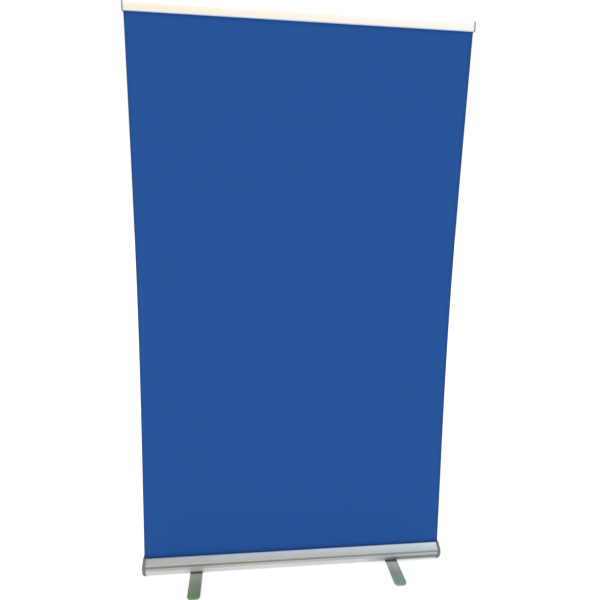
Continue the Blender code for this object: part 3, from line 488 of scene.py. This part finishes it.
# ---------------------------------------------------------------- finishing the CAD nodes
def hard_materials():
    """Materials of the CAD nodes, by the name of the slot that they take over."""
    steel = (0.46, 0.46, 0.47)
    return {
        "anodised": brushed_metal(
            "anodised", steel, (0.58, 0.59, 0.61), GRAIN_ALONG_X, roughness=0.36, wear=0.5
        ),
        "cassette_finish_and_painted_light": cassette_finish_and_painted_light("cassette_finish_and_painted_light"),
        "pole_metal": brushed_metal(
            "pole_metal", steel, (0.60, 0.61, 0.62), GRAIN_ALONG_Z, roughness=0.32, wear=0.4
        ),
        "foot_steel": foot_steel("foot_steel"),
        "screw_steel": brushed_metal(
            "screw_steel", (0.38, 0.38, 0.38), (0.56, 0.56, 0.55), GRAIN_SCREW, roughness=0.30, wear=0.5
        ),
        "spring_steel": brushed_metal(
            "spring_steel", (0.16, 0.16, 0.17), (0.30, 0.30, 0.31), GRAIN_SPRING, roughness=0.38, wear=0.2
        ),
        "cap_plastic": moulded_plastic(
            "cap_plastic", (0.145, 0.148, 0.150), (0.185, 0.190, 0.195), roughness=0.48
        ),
        "rail_cap": moulded_plastic(
            "rail_cap", (0.28, 0.275, 0.265), (0.34, 0.335, 0.33), roughness=0.50
        ),
        "black_plastic": moulded_plastic(
            "black_plastic", (0.018, 0.018, 0.020), (0.030, 0.030, 0.033), roughness=0.45
        ),
        "cream_paint": cream_paint("cream_paint"),
        "rubber": rubber("rubber"),
    }


# Nodes with a finish of their own. Every other node keeps the one that its slot names.
NODE_FINISHES = {
    "cassette_housing": "cassette_finish_and_painted_light",
    "pole_lower": "pole_metal",
    "pole_middle": "pole_metal",
    "pole_upper": "pole_metal",
}


def smooth_by_angle():
    """A node group that shades faces smooth but leaves edges sharper than SMOOTH_ANGLE crisp."""
    group = bpy.data.node_groups.new("smooth_by_angle", "GeometryNodeTree")
    group.interface.new_socket("Geometry", in_out="INPUT", socket_type="NodeSocketGeometry")
    group.interface.new_socket("Geometry", in_out="OUTPUT", socket_type="NodeSocketGeometry")
    start = group.nodes.new("NodeGroupInput")
    end = group.nodes.new("NodeGroupOutput")
    faces = group.nodes.new("GeometryNodeSetShadeSmooth")
    faces.domain = "FACE"
    crisp = group.nodes.new("GeometryNodeSetShadeSmooth")
    crisp.domain = "EDGE"
    crisp.inputs["Shade Smooth"].default_value = False
    angle = group.nodes.new("GeometryNodeInputMeshEdgeAngle")
    over = group.nodes.new("FunctionNodeCompare")
    over.data_type = "FLOAT"
    over.operation = "GREATER_THAN"
    over.inputs["B"].default_value = math.radians(SMOOTH_ANGLE)
    links = group.links
    links.new(start.outputs[0], faces.inputs["Geometry"])
    links.new(faces.outputs["Geometry"], crisp.inputs["Geometry"])
    links.new(angle.outputs["Unsigned Angle"], over.inputs["A"])
    links.new(over.outputs["Result"], crisp.inputs["Selection"])
    links.new(crisp.outputs["Geometry"], end.inputs[0])
    return group


def finish_node(node, smoothing, materials):
    """Welds the faceted import, shades it smooth between crisp edges and gives it its material.

    The nodes that a soft piece replaces have a slot with no material here, and keep their own.
    """
    attribute = node.data.attributes.get("custom_normal")
    if attribute:
        node.data.attributes.remove(attribute)
    weld = node.modifiers.new("weld", "WELD")
    weld.merge_threshold = WELD_REACH
    smooth = node.modifiers.new("smooth", "NODES")
    smooth.node_group = smoothing
    slot = node.data.materials[0].name
    finish = NODE_FINISHES.get(node.name, slot)
    if finish in materials:
        node.data.materials.clear()
        node.data.materials.append(materials[finish])


def finish_nodes():
    materials = hard_materials()
    smoothing = smooth_by_angle()
    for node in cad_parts.values():
        finish_node(node, smoothing, materials)


# ---------------------------------------------------------------- soft pieces
def new_piece(name, shaped, materials):
    """An object made from a bmesh, which is used up."""
    mesh = bpy.data.meshes.new(name)
    shaped.to_mesh(mesh)
    shaped.free()
    for material in materials:
        mesh.materials.append(material)
    mesh.shade_smooth()
    piece = bpy.data.objects.new(name, mesh)
    bpy.context.scene.collection.objects.link(piece)
    return piece


def evaluated_mesh(drawn):
    """A mesh of the object as its curve settings and modifiers leave it."""
    graph = bpy.context.evaluated_depsgraph_get()
    return bpy.data.meshes.new_from_object(drawn.evaluated_get(graph))


def apply_modifiers(piece):
    mesh = evaluated_mesh(piece)
    piece.modifiers.clear()
    piece.data = mesh


def strip(rows):
    """A grid of quads through rows of points."""
    shaped = bmesh.new()
    lines = [[shaped.verts.new(point) for point in row] for row in rows]
    for before, after in zip(lines, lines[1:]):
        for i in range(len(before) - 1):
            shaped.faces.new((before[i], before[i + 1], after[i + 1], after[i]))
    return shaped


def thicken(piece, thickness, back_material=0, rim_material=0):
    """Gives a sheet its thickness, half of it to each side."""
    solid = piece.modifiers.new("thickness", "SOLIDIFY")
    solid.thickness = thickness
    solid.offset = 0.0
    solid.material_offset = back_material
    solid.material_offset_rim = rim_material
    apply_modifiers(piece)


def stand_in(piece, node, body):
    """The piece moves with the body and is shown in place of the CAD node."""
    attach(piece, body)
    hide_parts(node)


def height_share(z):
    """0 in the cassette's mouth and 1 in the rail."""
    share = (z - FILM_HELD_BELOW) / (FILM_HELD_ABOVE - FILM_HELD_BELOW)
    return min(1.0, max(0.0, share))


def free_share(z):
    """0 in the mouth and in the rail, and 1 at the middle of the film between them."""
    return math.sin(math.pi * height_share(z))


def waist(x):
    """How far the film's edge on this side is pulled in at mid height."""
    return FILM_WAIST_LEFT if x < 0 else FILM_WAIST_RIGHT


def flat_film(low, high, half):
    """The film as a flat grid, before it is pulled tight."""
    across = [half * (2.0 * i / FILM_COLUMNS - 1.0) for i in range(FILM_COLUMNS + 1)]
    heights = [low + (high - low) * j / FILM_ROWS for j in range(FILM_ROWS + 1)]
    return strip([(x, 0.0, z) for x in across] for z in heights)


def pull_tight(film, half):
    """Cloth simulation of the film between rail and cassette: held at both, drawn in between."""
    held = film.vertex_groups.new(name="held")
    drawn = film.vertex_groups.new(name="drawn")
    most = max(FILM_WAIST_LEFT, FILM_WAIST_RIGHT)
    for vert in film.data.vertices:
        x, _, z = vert.co
        if z < FILM_HELD_BELOW or z > FILM_HELD_ABOVE:
            held.add([vert.index], 1.0, "REPLACE")
        drawn.add([vert.index], waist(x) / most * free_share(z) ** FILM_WAIST_FADE, "REPLACE")
    cloth = film.modifiers.new("tension", "CLOTH")
    cloth.collision_settings.use_collision = False
    cloth.point_cache.frame_start = 1
    cloth.point_cache.frame_end = PULL_FRAMES
    settings = cloth.settings
    for name, value in CLOTH.items():
        setattr(settings, name, value)
    settings.effector_weights.gravity = 0.0
    settings.vertex_group_mass = "held"
    settings.shrink_min = 0.0
    settings.shrink_max = most / half * PULL_EXTRA
    settings.vertex_group_shrink = "drawn"
    for step in range(1, PULL_FRAMES + 1):
        bpy.context.scene.frame_set(step)
    apply_modifiers(film)
    bpy.context.scene.frame_set(1)
    film.vertex_groups.clear()


def curl_edges(film, half, middle):
    """Turns the side edges back a little and leans the film onto the mouth's front lip."""
    for vert in film.data.vertices:
        x, _, z = vert.co
        edge = max(0.0, abs(x) - (half - FILM_CURL_WIDTH)) / FILM_CURL_WIDTH
        curl = FILM_CURL_DEPTH * free_share(z) * edge ** 2
        vert.co.y += middle + curl - FILM_LIP_LEAN * (1.0 - height_share(z))


def make_film():
    """The banner, pulled tight between the cassette and the rail, with its side edges drawn in and turned
    back.
    """
    low_corner, high_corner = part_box("banner_sheet")
    middle = (low_corner.y + high_corner.y) / 2
    half = high_corner.x
    materials = [printed_film("printed_film"), film_back("film_back"), film_core("film_core")]
    film = new_piece("banner_film", flat_film(low_corner.z, high_corner.z, half), materials)
    pull_tight(film, half)
    curl_edges(film, half, middle)
    thicken(film, FILM_THICK, back_material=1, rim_material=2)
    stand_in(film, "banner_sheet", "base")
    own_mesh(film)


def make_leader():
    """The film between the roll and the mouth, bowed a little as it leaves the roll."""
    points = [vert.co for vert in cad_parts["banner_leader"].data.vertices]
    lowest = min(points, key=lambda point: point.z)
    highest = max(points, key=lambda point: point.z)
    low_corner, high_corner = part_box("banner_leader")
    bottom = Vector((0.0, lowest.y, low_corner.z + LEADER_FOOT_GAP))
    top = Vector((0.0, highest.y - FILM_LIP_LEAN, high_corner.z - LEADER_HEAD_GAP))
    rows = []
    for step in range(LEADER_STEPS + 1):
        share = step / LEADER_STEPS
        place = bottom.lerp(top, share)
        place.y -= LEADER_BOW * math.sin(math.pi * share)
        rows.append([(side * high_corner.x, place.y, place.z) for side in LEADER_ACROSS])
    leader = new_piece("film_leader", strip(rows), [white_film("leader_film")])
    thicken(leader, ROLL_FILM_THICK)
    stand_in(leader, "banner_leader", "base")


def make_roll():
    """The last turns of film on the tube, wound as one spiral strip."""
    low_corner, high_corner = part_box("banner_wrap")
    centre = (low_corner + high_corner) / 2
    outer = (high_corner.z - low_corner.z) / 2
    first = ROLL_INNER + ROLL_FILM_THICK / 2
    last = outer - ROLL_FILM_THICK / 2
    steps = ROLL_TURNS * ROLL_TURN_STEPS
    rows = []
    for step in range(steps + 1):
        angle = 2 * math.pi * ROLL_TURNS * step / steps
        radius = first + (last - first) * step / steps
        y = centre.y + radius * math.cos(angle)
        z = centre.z + radius * math.sin(angle)
        rows.append([(x, y, z) for x in (low_corner.x, 0.0, high_corner.x)])
    shaped = strip(rows)
    bmesh.ops.recalc_face_normals(shaped, faces=shaped.faces)
    roll = new_piece("film_roll", shaped, [white_film("roll_film")])
    thicken(roll, ROLL_FILM_THICK)
    stand_in(roll, "banner_wrap", "roller")


def cord_strands(centre, low, high):
    """A curve of strands twisted round each other between two heights."""
    curve = bpy.data.curves.new("cord_strands", "CURVE")
    curve.dimensions = "3D"
    curve.bevel_depth = STRAND_RADIUS
    curve.bevel_resolution = 1
    curve.use_fill_caps = True
    between_knots = high - low - 2 * KNOT_LENGTH
    steps = int(between_knots / CORD_LAY * CORD_LAY_STEPS)
    start = low + KNOT_LENGTH * STRAND_SHORT
    run = between_knots + 2 * (1 - STRAND_SHORT) * KNOT_LENGTH
    for strand in range(CORD_STRANDS):
        spline = curve.splines.new("POLY")
        spline.points.add(steps)
        for step, point in enumerate(spline.points):
            z = start + run * step / steps
            angle = 2 * math.pi * (z / CORD_LAY + strand / CORD_STRANDS)
            x = centre.x + STRAND_OFFSET * math.cos(angle)
            y = centre.y + STRAND_OFFSET * math.sin(angle)
            point.co = (x, y, z, 1.0)
    return curve


def make_cord():
    """Elastic cord drawn as strands twisted round each other, with a knot at each end."""
    low_corner, high_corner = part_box("shock_cord")
    centre = (low_corner + high_corner) / 2
    curve = cord_strands(centre, low_corner.z, high_corner.z)
    drawn = bpy.data.objects.new("cord_drawn", curve)
    bpy.context.scene.collection.objects.link(drawn)
    bpy.context.view_layer.update()
    shaped = bmesh.new()
    shaped.from_mesh(evaluated_mesh(drawn))
    bpy.data.objects.remove(drawn, do_unlink=True)
    for z in (low_corner.z + KNOT_LENGTH / 2, high_corner.z - KNOT_LENGTH / 2):
        flat = Matrix.Diagonal((1.0, 1.0, KNOT_FLAT, 1.0))
        place = Matrix.Translation((centre.x, centre.y, z)) @ flat
        bmesh.ops.create_icosphere(shaped, subdivisions=3, radius=KNOT_RADIUS, matrix=place)
    cord = new_piece("braided_cord", shaped, [braided_cord("braided_cord")])
    stand_in(cord, "shock_cord", "pole")


# ---------------------------------------------------------------- stage, light and camera
def make_floor():
    """A wide pale floor. It glows a little towards the camera, so shadows on it stay faint."""
    shaped = bmesh.new()
    corners = [shaped.verts.new((x * FLOOR_REACH, y * FLOOR_REACH, 0.0)) for x, y in FLOOR_CORNERS]
    shaped.faces.new(corners)
    surface = Surface("studio_floor", Specular_IOR_Level=0.0)
    cloud = surface.noise(1.5, detail=3.0)
    colour = surface.shades(cloud, (0.3, (0.93, 0.93, 0.93)), (0.7, (0.96, 0.96, 0.96)))
    seen = surface.add("LightPath").outputs["Is Camera Ray"]
    glow = surface.spread(seen, FLOOR_GLOW, FLOOR_GLOW_SEEN, 0.0, 1.0)
    surface.set(surface.shader, {"Emission_Color": (*WHITE, 1.0), "Emission_Strength": glow})
    new_piece("studio_floor", shaped, [surface.finished(colour, 0.9)])


def make_world():
    """Soft surroundings: warmer on the left, cooler on the right and dimmer low down.

    The camera itself sees them as plain white.
    """
    world = bpy.data.worlds.new("studio")
    world.use_nodes = True
    bpy.context.scene.world = world
    sky = Nodes(world.node_tree)
    view = sky.add("SeparateXYZ", Vector=sky.add("TexCoord").outputs["Generated"]).outputs
    across = sky.spread(view["X"], 0.0, 1.0, *WORLD_SPREAD)
    tint = sky.shades(across, (0.0, WORLD_LEFT), (1.0, WORLD_RIGHT))
    levels = sky.shades(view["Z"], *((up, (level, level, level)) for up, level in WORLD_HEIGHTS))
    lit = sky.mix(1.0, tint, levels, blend="MULTIPLY")
    seen = sky.add("LightPath").outputs["Is Camera Ray"]
    sky.set(world.node_tree.nodes["Background"], {"Color": sky.mix(seen, lit, WHITE)})


def make_sun():
    """A broad soft light from high in front, to the left."""
    lamp = bpy.data.lights.new("soft_sun", "SUN")
    lamp.energy = SUN_ENERGY
    lamp.angle = math.radians(SUN_SPREAD)
    sun = bpy.data.objects.new("soft_sun", lamp)
    sun.rotation_euler = Vector(SUN_WAY).to_track_quat("-Z", "Y").to_euler()
    bpy.context.scene.collection.objects.link(sun)


def make_camera():
    """The photograph's point of view."""
    yaw, pitch, roll = (math.radians(a) for a in (CAMERA_YAW, CAMERA_PITCH, CAMERA_ROLL))
    ahead = Vector((math.sin(yaw) * math.cos(pitch), math.cos(yaw) * math.cos(pitch), -math.sin(pitch)))
    level = Vector((math.cos(yaw), -math.sin(yaw), 0.0))
    above = level.cross(ahead)
    right = level * math.cos(roll) + above * math.sin(roll)
    up = -level * math.sin(roll) + above * math.cos(roll)
    data = bpy.data.cameras.new("camera")
    data.lens = CAMERA_LENS
    data.sensor_width = SENSOR_WIDTH
    camera = bpy.data.objects.new("camera", data)
    turn = Matrix((right, up, -ahead)).transposed().to_4x4()
    camera.matrix_world = Matrix.Translation(CAMERA_PLACE) @ turn
    bpy.context.scene.collection.objects.link(camera)
    bpy.context.scene.camera = camera


finish_nodes()
make_film()
make_leader()
make_roll()
make_cord()
make_floor()
make_world()
make_sun()
make_camera()
bpy.context.scene.view_settings.view_transform = "Standard"
